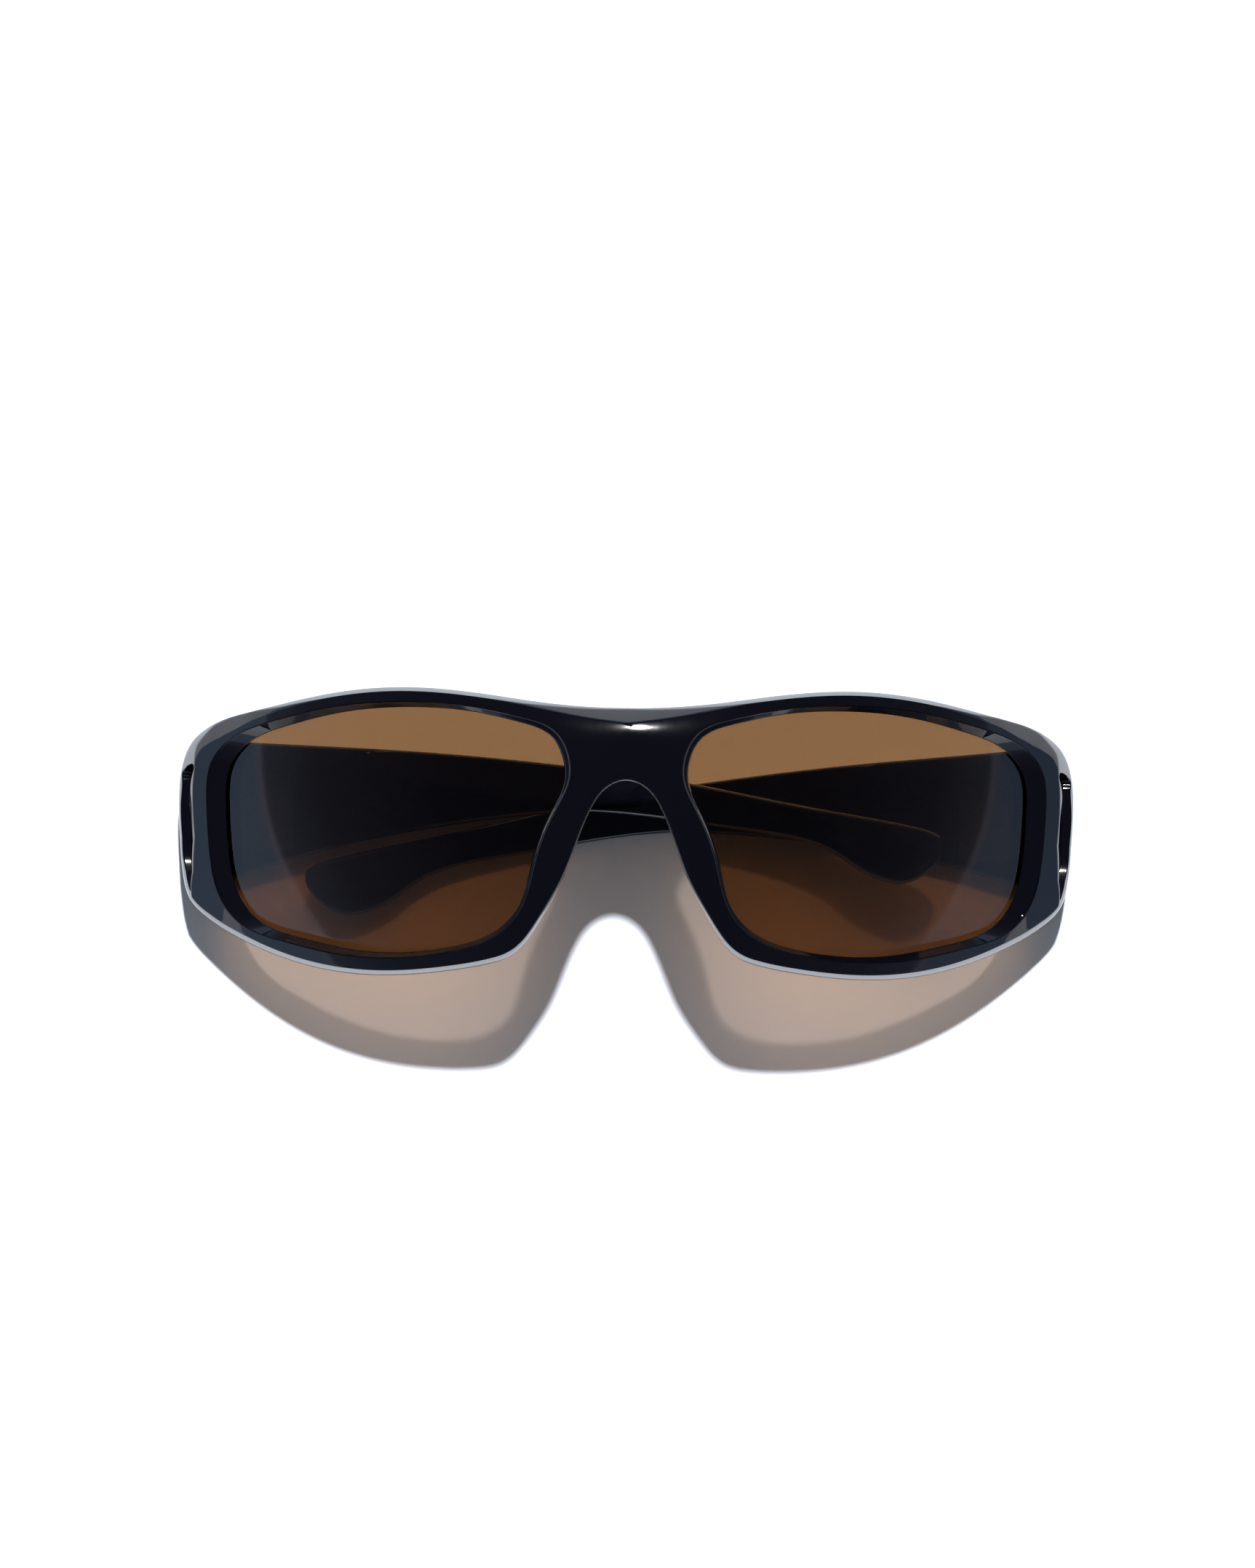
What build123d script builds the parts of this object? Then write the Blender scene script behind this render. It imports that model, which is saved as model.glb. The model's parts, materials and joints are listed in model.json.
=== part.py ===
"""Wrap-around sunglasses lying on their folded temples, front upwards.

+X is across the front, +Y runs from the lower rims to the brow, +Z points out of the lenses.
The table is Z = 0 and the origin is under the middle of the pair.
Left is the -X side and right is the +X side, as seen from in front of the lenses.
"""
from build123d import *
from math import atan, cos, degrees, radians, sin
import os

os.makedirs("parts", exist_ok=True)

LEFT = -1
RIGHT = 1

# Lenses: the size seen through the rim, and how each sits in it
lens_width = 53.0
lens_height = 38.2
bridge_gap = 19.2          # between the two lens openings
lens_thickness = 2.0
lens_bite = 1.0            # how far the rim's groove holds the lens all round
lens_clearance = 0.06      # gap between the lens and its groove
lens_set_back = 1.2        # lens behind the rim's front, at the bridge
lens_end_set_back = 3.8    # the same at the outer ends

# Front frame
brow_rim = 3.3             # rim above the lens opening
lower_rim = 3.7            # rim below it
end_width = 7.7            # from the lens opening to the end of the front
rim_depth = 4.6            # front to back at the bridge
end_depth = 8.6            # thickness of the front's ends
wrap_depth = 39.6          # how far the ends stand behind the bridge
wrap_margin = 0.1          # wrap surface past the front's widest point
skirt = 20.0               # straight run behind the turned ends
end_turn_radius = 20.32    # arc on which the front turns back at its ends
tilt = 8.0                 # degrees, brow ahead of the lower rim
recess_lip = 0.5           # rim left in front of the lens
recess_side = 0.7          # step round the lens opening at the nose side
recess_end = 3.0           # wider step at the outer end
recess_height = 0.9        # step above and below
brow_dip = 3.0             # middle of the brow below its highest points
bridge_lead = 1.2          # drop of the bridge for the front's lean
nose_height = 8.2          # top of the nose arch above the middle
nose_pad_depth = 9.5       # front to back of the saddle that rests on the nose
nose_pad_width = 4.2
end_slot_depth = 1.3
end_slot_width = 4.4       # recess in each end, front to back
end_slot_setback = 5.6     # recess ahead of the end's rear face
end_slot_low = -9.8
end_slot_high = 10.3
end_slot_rounding = 0.45   # corner radius, as a share of the recess's width

# Hinges
hinge_setback = 6.3        # hinge axis inside the end of the front
hinge_level = 2.5          # middle of the hinge, along Y
hinge_lean = 1.57          # degrees, play that turns both folded temples in plan
barrel_radius = 1.5
barrel_length = 2.34
barrel_gap = 0.06
barrel_count = 5
barrel_room = 0.4          # pocket round the barrels
leaf_thickness = 1.1
leaf_offset = 0.4          # leaf's inner face from the hinge axis
front_leaf_length = 6.5
temple_leaf_length = 12.0
leaf_step = 0.3            # leaf's plate starts this far past the barrels
leaf_clearance = 0.05
screw_radius = 0.7
screw_fit = 0.04
screw_head_radius = 1.2
screw_head_height = 0.6
screw_slot = 0.35
washer_thickness = 0.2
washer_radius = 1.35
pin_radius = 0.5
pin_fit = 0.03
pin_spacing = 7.0
pin_setback = 3.0          # pins from the far end of a leaf
pin_length = 3.0
butt_gap = 0.1             # open temple to the front's rear face
butt_reach = 1.0           # temple's end past the hinge axis

# Temples
temple_length = 114.0
temple_height = 23.0       # at the hinge
temple_root = 5.7          # thickness at the hinge
temple_middle = 3.4        # thickness half way
root_taper = 0.2           # thickness lost along the hinge leaf
left_fold = 5.3            # degrees that the upper temple lies above level
core_thickness = 1.0
core_width = 1.8
core_fit = 0.05
core_gap = 1.0             # core's end past the hinge leaf's pocket

# Worked out from the sizes above
opening_edge = bridge_gap / 2
half_width = opening_edge + lens_width + end_width
lens_middle = 0.2
brow = lens_height / 2 + lens_middle + brow_rim
chin = lens_height / 2 - lens_middle + lower_rim
wrap_half = half_width + wrap_margin
barrel_stack = barrel_count * (barrel_length + barrel_gap)
pocket_length = barrel_stack + 2 * (washer_thickness + screw_head_height + barrel_room)
temple_outer = leaf_offset + temple_root
hinge_x = half_width - hinge_setback
root_length = temple_leaf_length + 2.0
right_fold = -degrees(atan(root_taper / (root_length + butt_reach)))
hinge_z = temple_outer * cos(radians(left_fold)) + butt_reach * sin(radians(left_fold))
rear_z = hinge_z + butt_reach + butt_gap
bridge_z = rear_z + (wrap_depth - bridge_lead) * cos(radians(tilt))
block_height = bridge_z + lens_height

# The ball that the middle of the front lies on runs smoothly into the two end turns
front_radius = (wrap_half**2 + wrap_depth**2 - 2 * wrap_half * end_turn_radius) / (
    2 * (wrap_depth - end_turn_radius)
)

wrap_plane = Plane(
    origin=(0, 0, bridge_z),
    x_dir=(1, 0, 0),
    z_dir=(0, -cos(radians(tilt)), -sin(radians(tilt))),
)
wrap_axis = Axis(wrap_plane.from_local_coords((0, -front_radius, 0)), (1, 0, 0))

# Outlines, as shares of the sizes they belong to.  The front's runs from the brow to the nose arch.
FRONT_OUTLINE = [
    (0.155, 0.893), (0.316, 0.960), (0.498, 1.000), (0.679, 0.938), (0.839, 0.813), (0.920, 0.729),
    (0.970, 0.604), (0.994, 0.422), (1.000, 0.200), (0.997, -0.066), (0.990, -0.308), (0.973, -0.485),
    (0.932, -0.621), (0.863, -0.753), (0.701, -0.943), (0.541, -1.000), (0.377, -0.956),
    (0.292, -0.903), (0.253, -0.855), (0.218, -0.749), (0.178, -0.551), (0.137, -0.308),
    (0.104, -0.031), (0.080, 0.151), (0.048, 0.298),
]
LENS_OUTLINE = [
    (0.000, 0.204), (0.006, 0.309), (0.038, 0.385), (0.132, 0.442), (0.272, 0.484), (0.453, 0.500),
    (0.630, 0.482), (0.826, 0.416), (0.932, 0.351), (0.987, 0.257), (1.000, 0.099), (0.992, -0.084),
    (0.966, -0.254), (0.906, -0.372), (0.762, -0.450), (0.611, -0.492), (0.485, -0.500),
    (0.328, -0.474), (0.200, -0.408), (0.130, -0.304), (0.094, -0.136), (0.040, 0.073),
]
TEMPLE_OUTLINE = [
    (0.080, 0.467), (0.232, 0.415), (0.435, 0.313), (0.641, 0.157), (0.813, -0.022), (0.944, -0.148),
    (0.990, -0.215), (1.000, -0.320), (0.980, -0.470), (0.937, -0.556), (0.893, -0.490),
    (0.856, -0.370), (0.797, -0.243), (0.713, -0.170), (0.606, -0.087), (0.503, -0.039),
    (0.380, -0.074), (0.275, -0.143), (0.171, -0.240),
]
# Along the temple: bow of its middle line in millimetres, and how much root thickness is left
TEMPLE_BOW = [
    (0.22, -3.10, 0.45), (0.36, -3.00, 0.12), (0.56, -2.70, 0.0), (0.72, -1.75, 0.0),
    (0.85, 0.75, 0.0), (1.02, 6.1, 0.0),
]
# Middle line of the strip inside the temple
CORE_LINE = [(0.13, 0.087), (0.25, 0.113), (0.45, 0.126), (0.60, 0.078), (0.75, -0.043), (0.86, -0.191)]


def front_face():
    """Outline of the front seen from in front."""
    run = [(x * half_width, y * (brow if y > 0 else chin)) for x, y in FRONT_OUTLINE]
    with BuildSketch() as face:
        with BuildLine():
            Spline((0, brow - brow_dip), *run, (0, nose_height), tangents=[(1, 0), (-1, 0)])
            mirror(about=Plane.YZ)
        make_face()
    return face.sketch


def lens_face(side, nose_growth=0.0, end_growth=0.0, rim_growth=0.0):
    """Outline of one lens opening, stretched past its nose side, outer end, and brow and lower rims."""
    start = opening_edge - nose_growth
    width = lens_width + nose_growth + end_growth
    height = lens_height + 2 * rim_growth
    run = [(side * (start + x * width), lens_middle + y * height) for x, y in LENS_OUTLINE]
    with BuildSketch() as face:
        with BuildLine():
            Spline(*run, periodic=True)
        make_face()
    return face.sketch


def wrap_body(set_back, end_set_back):
    """Everything behind the wrapped surface, moved back at the bridge and in at the ends.

    The surface is a ball in the middle, and turns back at each end on a smaller arc.
    """
    half = wrap_half - end_set_back
    ball = front_radius - set_back
    turn = 90 - 2 * degrees(atan((ball - half) / (front_radius - wrap_depth)))
    reach = (front_radius - wrap_depth) / cos(radians(turn))
    end_radius = ball - reach
    end_middle = reach * sin(radians(turn))
    foot = -wrap_depth - skirt
    with BuildPart() as body:
        with BuildSketch(wrap_plane):
            with BuildLine():
                CenterArc((0, -front_radius), ball, 90 - turn, 2 * turn)
                CenterArc((end_middle, -wrap_depth), end_radius, 0, 90 - turn)
                CenterArc((-end_middle, -wrap_depth), end_radius, 90 + turn, 90 - turn)
                Polyline((half, -wrap_depth), (half, foot), (-half, foot), (-half, -wrap_depth))
            make_face()
        revolve(axis=wrap_axis)
    return body.part


def hinge_plane(side, fold=0.0):
    """Plane through a hinge's middle: X along the folded temple, Y along the hinge axis."""
    turn = radians(side * fold)
    lean = radians(hinge_lean)
    return Plane(
        origin=(side * hinge_x, hinge_level, hinge_z),
        x_dir=(cos(lean) * cos(turn), sin(lean) * cos(turn), -sin(turn)),
        z_dir=(cos(lean) * sin(turn), sin(lean) * sin(turn), cos(turn)),
    )


def hinge_bore(side, radius, length):
    """Round bar along the hinge axis, for the screw's hole and the barrels' pocket."""
    plane = hinge_plane(side)
    bore_plane = Plane(origin=plane.origin, x_dir=plane.x_dir, z_dir=plane.y_dir)
    with BuildPart() as bar:
        with BuildSketch(bore_plane):
            Circle(radius)
        extrude(amount=length / 2, both=True)
    return bar.part


def block(plane, near, far, low, high, bottom, top):
    """Box between the given sides of a plane's own X, Y and Z."""
    with BuildPart() as piece:
        with BuildSketch(plane.offset(bottom)):
            with Locations(((near + far) / 2, (low + high) / 2)):
                Rectangle(abs(far - near), high - low)
        extrude(amount=top - bottom)
    return piece.part


def front_leaf_block(side, clearance=0.0):
    """Plate of the front leaf, which stands up into the front, or with clearance its pocket."""
    outward = side
    half = barrel_stack / 2 + clearance
    near = outward * (leaf_offset - clearance)
    far = outward * (leaf_offset + leaf_thickness + clearance)
    start = 0 if clearance else barrel_radius + leaf_step
    return block(hinge_plane(side), near, far, -half, half, start, front_leaf_length + clearance)


def temple_leaf_block(side, fold, clearance=0.0):
    """Plate of the temple leaf, let into the temple's inner face, or with clearance its pocket."""
    toward_tip = -side
    half = barrel_stack / 2 + clearance
    near = 0 if clearance else toward_tip * (barrel_radius + leaf_step)
    far = toward_tip * (temple_leaf_length + clearance)
    low = -leaf_offset - leaf_thickness - clearance
    return block(hinge_plane(side, fold), near, far, -half, half, low, -leaf_offset)


def front_pins(side, radius):
    """Two pins that hold the front leaf in the front, along the plane's X."""
    plane = hinge_plane(side)
    level = front_leaf_length - pin_setback
    start = plane.from_local_coords((side * (leaf_offset - leaf_clearance), 0, level))
    pin_plane = Plane(origin=start, x_dir=plane.y_dir, z_dir=side * plane.x_dir)
    with BuildPart() as pins:
        with BuildSketch(pin_plane):
            with GridLocations(pin_spacing, 0, 2, 1):
                Circle(radius)
        extrude(amount=pin_length)
    return pins.part


def temple_pins(side, fold, radius):
    """Two pins that hold the temple leaf in the temple, down from its inner face."""
    along = -side * (temple_leaf_length - pin_setback)
    with BuildPart() as pins:
        with BuildSketch(hinge_plane(side, fold).offset(-leaf_offset)):
            with Locations((along, 0)):
                with GridLocations(0, pin_spacing, 1, 2):
                    Circle(radius)
        extrude(amount=-pin_length)
    return pins.part


def temple_side_face(side):
    """The temple seen from its broad side."""
    root = side * butt_reach
    run = [(-side * x * temple_length, y * temple_height) for x, y in TEMPLE_OUTLINE]
    top = (root, temple_height / 2)
    foot = (root, -temple_height / 2)
    with BuildSketch() as face:
        with BuildLine():
            Spline(top, *run, foot)
            Line(foot, top)
        make_face()
    return face.sketch


def temple_band(side, plane):
    """The temple's bowed plate seen from above, extruded right through its height."""
    edge_plane = Plane(origin=plane.origin, x_dir=plane.x_dir, z_dir=-plane.y_dir)
    swell = temple_root - root_taper - temple_middle
    bow = [(-side * x * temple_length, z, (temple_middle + swell * share) / 2) for x, z, share in TEMPLE_BOW]
    root = side * butt_reach
    shoulder = -side * root_length
    with BuildPart() as band:
        with BuildSketch(edge_plane):
            with BuildLine():
                outer_root = Line((root, -temple_outer), (shoulder, root_taper - temple_outer))
                inner_root = Line((root, -leaf_offset), (shoulder, -leaf_offset))
                outer = Spline(outer_root @ 1, *[(x, z - half) for x, z, half in bow])
                inner = Spline(inner_root @ 1, *[(x, z + half) for x, z, half in bow])
                Line(outer_root @ 0, inner_root @ 0)
                Line(outer @ 1, inner @ 1)
            make_face()
        extrude(amount=temple_height, both=True)
    return band.part


def core_band(side, plane, start, growth):
    """The stiffening strip seen from above, along the temple's bow."""
    edge_plane = Plane(origin=plane.origin, x_dir=plane.x_dir, z_dir=-plane.y_dir)
    half = core_thickness / 2 + growth
    bow = [(-side * x * temple_length, z) for x, z, share in TEMPLE_BOW]
    first = (-side * start, -leaf_offset - temple_root / 2)
    with BuildPart() as band:
        with BuildSketch(edge_plane):
            with BuildLine():
                outer = Spline((first[0], first[1] - half), *[(x, z - half) for x, z in bow])
                inner = Spline((first[0], first[1] + half), *[(x, z + half) for x, z in bow])
                Line(outer @ 0, inner @ 0)
                Line(outer @ 1, inner @ 1)
            make_face()
        extrude(amount=temple_height, both=True)
    return band.part


def temple_core_form(side, fold, growth=0.0):
    """Stiffening strip inside the temple, half way between its faces, or with growth its slot."""
    plane = hinge_plane(side, fold)
    start = root_length + core_gap - growth
    half = core_width / 2 + growth
    run = [(-side * x * temple_length, y * temple_height) for x, y in CORE_LINE]
    end = (run[-1][0] - side * growth, run[-1][1])
    line = [(-side * start, CORE_LINE[0][1] * temple_height), *run[1:-1], end]
    with BuildPart() as core:
        with BuildSketch(plane):
            with BuildLine():
                top = Spline(*[(x, y + half) for x, y in line])
                base = Spline(*[(x, y - half) for x, y in line])
                Line(top @ 0, base @ 0)
                Line(top @ 1, base @ 1)
            make_face()
        extrude(amount=temple_height, both=True)
        add(core_band(side, plane, root_length - growth, growth), mode=Mode.INTERSECT)
    return core.part


def front_hollow():
    """Space behind the front: close to the rims, and further back behind the nose saddle."""
    with BuildPart() as hollow:
        add(wrap_body(rim_depth, end_depth))
        with BuildSketch(Plane.XY):
            Rectangle(2 * (opening_edge + nose_pad_width), 2 * block_height)
        extrude(amount=2 * block_height, mode=Mode.SUBTRACT)
        add(wrap_body(nose_pad_depth, end_depth))
    return hollow.part


def lens_form(side, growth=0.0):
    """One wrapped lens, or with growth the groove that holds it."""
    front = lens_set_back - growth
    front_end = lens_end_set_back - growth
    depth = lens_thickness + 2 * growth
    with BuildPart() as form:
        with BuildSketch(Plane.XY.offset(rear_z)):
            add(lens_face(side, lens_bite + growth, lens_bite + growth, lens_bite + growth))
        extrude(amount=block_height)
        add(wrap_body(front, front_end), mode=Mode.INTERSECT)
        add(wrap_body(front + depth, front_end + depth), mode=Mode.SUBTRACT)
    return form.part


def lens_recess(side):
    """Step in the front that leaves a thin lip before the lens."""
    with BuildPart() as recess:
        with BuildSketch(Plane.XY.offset(rear_z)):
            add(lens_face(side, recess_side, recess_end, recess_height))
        extrude(amount=block_height)
        add(wrap_body(lens_set_back - recess_lip, lens_end_set_back - recess_lip), mode=Mode.SUBTRACT)
    return recess.part


def end_slot(side):
    """Shallow slot let into the outer face of one end."""
    low = rear_z + end_slot_setback - end_slot_width / 2
    with BuildPart() as slot:
        with BuildSketch(Plane.XY.offset(low)):
            with Locations((side * half_width, (end_slot_low + end_slot_high) / 2)):
                Rectangle(2 * hinge_setback, end_slot_high - end_slot_low)
        extrude(amount=end_slot_width)
        fillet(slot.edges().filter_by(Axis.X), radius=end_slot_width * end_slot_rounding)
        add(wrap_body(end_slot_depth, end_slot_depth), mode=Mode.SUBTRACT)
    return slot.part


def barrels(side, parity):
    """Every second barrel of a hinge, starting at the foot or one above it."""
    plane = hinge_plane(side)
    pitch = barrel_length + barrel_gap
    with BuildPart() as stack:
        for index in range(parity, barrel_count, 2):
            foot = index * pitch - barrel_stack / 2 + barrel_gap / 2
            start = plane.from_local_coords((0, foot, 0))
            with BuildSketch(Plane(origin=start, x_dir=plane.x_dir, z_dir=plane.y_dir)):
                Circle(barrel_radius)
            extrude(amount=barrel_length)
    return stack.part


def leaf_webs(side, fold, parity, upright):
    """Straps that join a leaf's barrels to its plate."""
    plane = hinge_plane(side, fold)
    pitch = barrel_length + barrel_gap
    reach = barrel_radius + leaf_step
    near = leaf_offset
    far = leaf_offset + leaf_thickness
    with BuildPart() as webs:
        for index in range(parity, barrel_count, 2):
            foot = index * pitch - barrel_stack / 2 + barrel_gap / 2
            head = foot + barrel_length
            if upright:
                add(block(plane, side * near, side * far, foot, head, 0, reach))
            else:
                add(block(plane, 0, -side * reach, foot, head, -far, -near))
    return webs.part


# ---- front frame: a wrapped plate with the nose saddle behind its bridge ----
with BuildPart() as front_frame:
    with BuildSketch(Plane.XY.offset(rear_z)):
        add(front_face())
    extrude(amount=block_height)
    add(wrap_body(0, 0), mode=Mode.INTERSECT)
    add(front_hollow(), mode=Mode.SUBTRACT)
    for side in (LEFT, RIGHT):
        with BuildSketch(Plane.XY.offset(rear_z - 1)):
            add(lens_face(side))
        extrude(amount=block_height, mode=Mode.SUBTRACT)
        add(lens_form(side, lens_clearance), mode=Mode.SUBTRACT)
        add(lens_recess(side), mode=Mode.SUBTRACT)
        add(end_slot(side), mode=Mode.SUBTRACT)
        add(hinge_bore(side, barrel_radius + barrel_room, pocket_length), mode=Mode.SUBTRACT)
        add(front_leaf_block(side, leaf_clearance), mode=Mode.SUBTRACT)
        add(front_pins(side, pin_radius + pin_fit), mode=Mode.SUBTRACT)
front_frame.part.label = "front_frame"
export_step(front_frame.part, "parts/front_frame.step")

# ---- the pieces that come once on each side ----
for side, name, fold in ((LEFT, "left", left_fold), (RIGHT, "right", right_fold)):
    with BuildPart() as lens:
        add(lens_form(side))
    lens.part.label = f"lens_{name}"
    export_step(lens.part, f"parts/lens_{name}.step")

    with BuildPart() as front_leaf:
        add(front_leaf_block(side))
        add(leaf_webs(side, 0, 0, True))
        add(barrels(side, 0))
        add(hinge_bore(side, screw_radius + screw_fit, 2 * barrel_stack), mode=Mode.SUBTRACT)
        add(front_pins(side, pin_radius + pin_fit), mode=Mode.SUBTRACT)
    front_leaf.part.label = f"front_hinge_leaf_{name}"
    export_step(front_leaf.part, f"parts/front_hinge_leaf_{name}.step")

    with BuildPart() as temple_leaf:
        add(temple_leaf_block(side, fold))
        add(leaf_webs(side, fold, 1, False))
        add(barrels(side, 1))
        add(hinge_bore(side, screw_radius + screw_fit, 2 * barrel_stack), mode=Mode.SUBTRACT)
        add(temple_pins(side, fold, pin_radius + pin_fit), mode=Mode.SUBTRACT)
    temple_leaf.part.label = f"temple_hinge_leaf_{name}"
    export_step(temple_leaf.part, f"parts/temple_hinge_leaf_{name}.step")

    axis_plane = hinge_plane(side)
    head_seat = barrel_stack / 2 + washer_thickness
    top = axis_plane.from_local_coords((0, head_seat, 0))
    screw_plane = Plane(origin=top, x_dir=axis_plane.x_dir, z_dir=axis_plane.y_dir)
    with BuildPart() as screw:
        with BuildSketch(screw_plane):
            Circle(screw_radius)
        extrude(amount=-(head_seat + barrel_stack / 2))
        with BuildSketch(screw_plane):
            Circle(screw_head_radius)
        extrude(amount=screw_head_height)
        with BuildSketch(screw_plane.offset(screw_head_height)):
            Rectangle(2 * screw_head_radius, screw_slot)
        extrude(amount=-screw_head_height / 2, mode=Mode.SUBTRACT)
    screw.part.label = f"hinge_screw_{name}"
    export_step(screw.part, f"parts/hinge_screw_{name}.step")

    with BuildPart() as washer:
        with BuildSketch(screw_plane):
            Circle(washer_radius)
            Circle(screw_radius + screw_fit, mode=Mode.SUBTRACT)
        extrude(amount=-washer_thickness)
    washer.part.label = f"hinge_washer_{name}"
    export_step(washer.part, f"parts/hinge_washer_{name}.step")

    with BuildPart() as front_leaf_pins:
        add(front_pins(side, pin_radius))
    front_leaf_pins.part.label = f"front_leaf_pins_{name}"
    export_step(front_leaf_pins.part, f"parts/front_leaf_pins_{name}.step")

    with BuildPart() as temple_leaf_pins:
        add(temple_pins(side, fold, pin_radius))
    temple_leaf_pins.part.label = f"temple_leaf_pins_{name}"
    export_step(temple_leaf_pins.part, f"parts/temple_leaf_pins_{name}.step")

    with BuildPart() as core:
        add(temple_core_form(side, fold))
    core.part.label = f"temple_core_{name}"
    export_step(core.part, f"parts/temple_core_{name}.step")

    temple_plane = hinge_plane(side, fold)
    with BuildPart() as temple:
        with BuildSketch(temple_plane):
            add(temple_side_face(side))
        extrude(amount=temple_height, both=True)
        add(temple_band(side, temple_plane), mode=Mode.INTERSECT)
        add(hinge_bore(side, barrel_radius + barrel_room, pocket_length), mode=Mode.SUBTRACT)
        add(temple_leaf_block(side, fold, leaf_clearance), mode=Mode.SUBTRACT)
        add(temple_pins(side, fold, pin_radius + pin_fit), mode=Mode.SUBTRACT)
        add(temple_core_form(side, fold, core_fit), mode=Mode.SUBTRACT)
    temple.part.label = f"temple_{name}"
    export_step(temple.part, f"parts/temple_{name}.step")
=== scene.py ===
"""Looks of the wrap-around sunglasses: frame, lenses, temples, hinges, light and camera.

Lengths are in millimetres until a mesh is made, in the CAD model's own frame.
"""
import json
from math import atan, cos, pi, radians, sin, sqrt

import bmesh
import bpy
import numpy as np
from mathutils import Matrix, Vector


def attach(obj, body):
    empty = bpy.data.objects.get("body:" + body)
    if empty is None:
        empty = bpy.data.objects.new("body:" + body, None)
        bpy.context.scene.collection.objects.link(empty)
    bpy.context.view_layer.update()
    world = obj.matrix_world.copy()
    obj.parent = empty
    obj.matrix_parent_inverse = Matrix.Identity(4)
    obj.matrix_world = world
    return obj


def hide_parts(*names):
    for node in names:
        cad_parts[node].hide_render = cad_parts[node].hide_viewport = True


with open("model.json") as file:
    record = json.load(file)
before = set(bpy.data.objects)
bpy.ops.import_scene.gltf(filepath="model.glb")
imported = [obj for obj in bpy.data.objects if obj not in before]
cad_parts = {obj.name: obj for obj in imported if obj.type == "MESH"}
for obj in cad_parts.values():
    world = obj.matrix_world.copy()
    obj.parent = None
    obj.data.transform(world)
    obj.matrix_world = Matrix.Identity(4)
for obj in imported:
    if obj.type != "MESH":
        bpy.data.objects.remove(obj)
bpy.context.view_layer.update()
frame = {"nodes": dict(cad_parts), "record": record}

MM = 0.001
SHARP = radians(38.0)
LEFT = -1
RIGHT = 1
SIDES = ((LEFT, "left"), (RIGHT, "right"))

# ---------------------------------------------------------------- sizes, as the CAD model has them
LENS_WIDTH = 53.0
LENS_HEIGHT = 38.2
LENS_MIDDLE = 0.2
OPENING_EDGE = 9.6
END_WALL = 7.7
BROW_WALL = 3.3
CHIN_WALL = 3.7
HALF_WIDTH = OPENING_EDGE + LENS_WIDTH + END_WALL
BROW = LENS_HEIGHT / 2 + LENS_MIDDLE + BROW_WALL
CHIN = LENS_HEIGHT / 2 - LENS_MIDDLE + CHIN_WALL
# Height of the brow's middle as a share of its highest point
BROW_MIDDLE = 0.867
NOSE_TOP = 8.2
WRAP_HALF = HALF_WIDTH + 0.1
WRAP_DEPTH = 39.6
BALL = 95.0
TILT = radians(8.0)
RIM_DEPTH = 4.6
END_DEPTH = 8.6
# The nose saddle's added depth, how far out it reaches and the width it blends over
NOSE_DEPTH = 4.0
NOSE_REACH = 17.0
NOSE_BLEND = 8.0
LENS_RADIUS = 113.0
LENS_OFFSET = 10.0
LENS_THICK = 2.0
LENS_BITE = 0.9
LIP = 0.5
STEP = 0.5
FACET_START = 62.8
FACET_SLOPE = 0.80
# The brow's roll: fall for each square millimetre past its start, and where it fades out sideways
ROLL = 0.027
ROLL_START = 13.0
ROLL_END = 34.0
ROLL_FADE = 30.0
HINGE = {j["child"]: Vector(j["pos_m"]) / MM for j in frame["record"]["behaviour"]["joints"]}
HINGE_Z = HINGE["left_temple"].z
REAR_Z = HINGE_Z + 1.1
BRIDGE_Z = REAR_Z + (WRAP_DEPTH - 1.2) * cos(TILT)
LEAN = radians(1.57)
FOLD = {LEFT: radians(5.3), RIGHT: -atan(0.2 / 15.0)}
TEMPLE_LENGTH = 114.0
TEMPLE_HEIGHT = 23.0
LEAF_NEAR = 0.4
LEAF_THICK = 1.1
LEAF_FAR = LEAF_NEAR + LEAF_THICK
LEAF_ROOM = 0.05
FRONT_LEAF = 6.5
TEMPLE_LEAF = 12.0
BARREL_STACK = 12.0
BARREL_RADIUS = 1.5
BARREL_ROOM = BARREL_RADIUS + 0.4
SCREW_HEAD = 0.6
POCKET_HALF = BARREL_STACK / 2 + 0.2 + SCREW_HEAD + 0.4

FRONT_RUN = [
    (0.155, 0.893), (0.316, 0.960), (0.498, 1.000), (0.679, 0.938), (0.839, 0.813), (0.920, 0.729),
    (0.970, 0.604), (0.994, 0.422), (1.000, 0.200), (0.997, -0.066), (0.990, -0.308), (0.973, -0.485),
    (0.932, -0.621), (0.863, -0.753), (0.701, -0.943), (0.541, -1.000), (0.377, -0.956),
    (0.292, -0.903), (0.253, -0.855), (0.218, -0.749), (0.178, -0.551), (0.137, -0.308),
    (0.104, -0.031), (0.080, 0.151), (0.048, 0.298),
]
LENS_RUN = [
    (0.000, 0.204), (0.006, 0.309), (0.038, 0.385), (0.132, 0.442), (0.272, 0.484), (0.453, 0.500),
    (0.630, 0.482), (0.826, 0.416), (0.932, 0.351), (0.987, 0.257), (1.000, 0.099), (0.992, -0.084),
    (0.966, -0.254), (0.906, -0.372), (0.762, -0.450), (0.611, -0.492), (0.485, -0.500),
    (0.328, -0.474), (0.200, -0.408), (0.130, -0.304), (0.094, -0.136), (0.040, 0.073),
]
TEMPLE_TOP = [(-0.009, 0.500), (0.080, 0.467), (0.232, 0.415), (0.435, 0.313), (0.641, 0.157),
              (0.813, -0.022), (0.944, -0.148), (0.990, -0.215), (1.000, -0.320)]
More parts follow.
